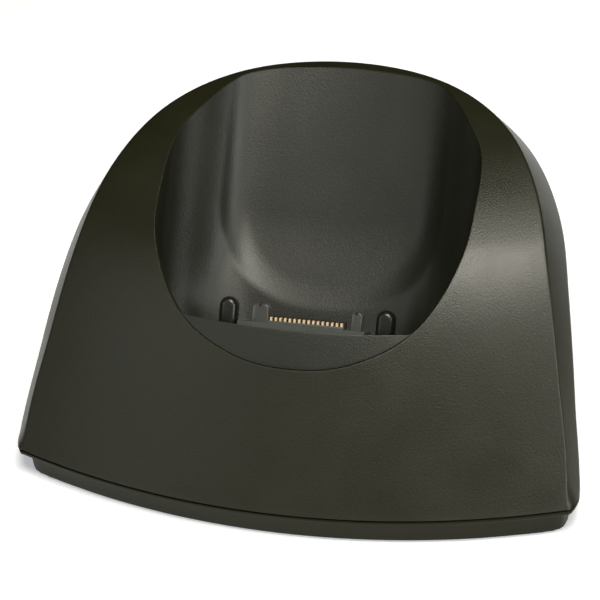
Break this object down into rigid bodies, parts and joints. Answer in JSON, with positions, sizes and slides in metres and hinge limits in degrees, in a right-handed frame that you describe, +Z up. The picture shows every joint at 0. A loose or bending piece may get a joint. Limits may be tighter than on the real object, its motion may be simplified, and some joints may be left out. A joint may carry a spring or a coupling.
{
  "type": "charging cradle",
  "caption": "Desktop charging cradle: sloping moulded cover with a leaning device pocket, a sprung contact row and a base tray.",
  "frame": {"origin": "middle of the footprint, on the table under the feet", "axes": "+X to the right seen from the front, +Y to the back, +Z up"},
  "size_m": [0.151, 0.115, 0.0716],
  "materials": {
    "cover_plastic": "fine matte grain, charcoal",
    "tray_plastic": "fine matte grain, charcoal",
    "insert_plastic": "fine matte grain, charcoal grey",
    "connector_plastic": "satin black",
    "contact_gold": "gold plated",
    "tail_metal": "plated",
    "tab_plastic": "glossy grey",
    "post_plastic": "glossy black",
    "board": "green solder mask",
    "socket_plastic": "natural",
    "flex_film": "amber film",
    "ballast_steel": "zinc plated",
    "port_plastic": "black",
    "port_metal": "nickel plated",
    "capacitor_sleeve": "dark blue sleeve",
    "ferrite": "grey ferrite",
    "chip_plastic": "black epoxy",
    "screw_steel": "zinc plated",
    "foot_rubber": "black rubber"
  },
  "bodies": {
    "cradle": {"top_cover": "cover_plastic", "base_tray": "tray_plastic", "pocket_insert": "insert_plastic", "connector_housing": "connector_plastic", "contact_tails": "tail_metal", "guide_tab_left": "tab_plastic", "guide_tab_right": "tab_plastic", "locator_post_left": "post_plastic", "locator_post_right": "post_plastic", "connector_board": "board", "dock_flex_socket": "socket_plastic", "flex_cable": "flex_film", "main_flex_socket": "socket_plastic", "main_board": "board", "ballast_plate": "ballast_steel", "dc_jack": "port_plastic", "jack_pin": "port_metal", "usb_socket": "port_metal", "usb_tongue": "port_plastic", "capacitor_left": "capacitor_sleeve", "capacitor_right": "capacitor_sleeve", "inductor": "ferrite", "charger_chip": "chip_plastic", "usb_chip": "chip_plastic", "case_screws": "screw_steel", "insert_screws": "screw_steel", "connector_screws": "screw_steel", "board_screws": "screw_steel", "foot_front_left": "foot_rubber", "foot_front_right": "foot_rubber", "foot_rear_left": "foot_rubber", "foot_rear_right": "foot_rubber"},
    "contact_row": {"contact_01": "contact_gold", "contact_02": "contact_gold", "contact_03": "contact_gold", "contact_04": "contact_gold", "contact_05": "contact_gold", "contact_06": "contact_gold", "contact_07": "contact_gold", "contact_08": "contact_gold", "contact_09": "contact_gold", "contact_10": "contact_gold", "contact_11": "contact_gold", "contact_12": "contact_gold", "contact_13": "contact_gold", "contact_14": "contact_gold", "contact_15": "contact_gold", "contact_16": "contact_gold"}
  },
  "joints": [
    {"name": "contact_press", "type": "slide", "parent": "cradle", "child": "contact_row", "axis": [0, -0.6561, -0.7547], "range_m": [0, 0.0008], "stiffness_N_per_m": 400}
  ]
}
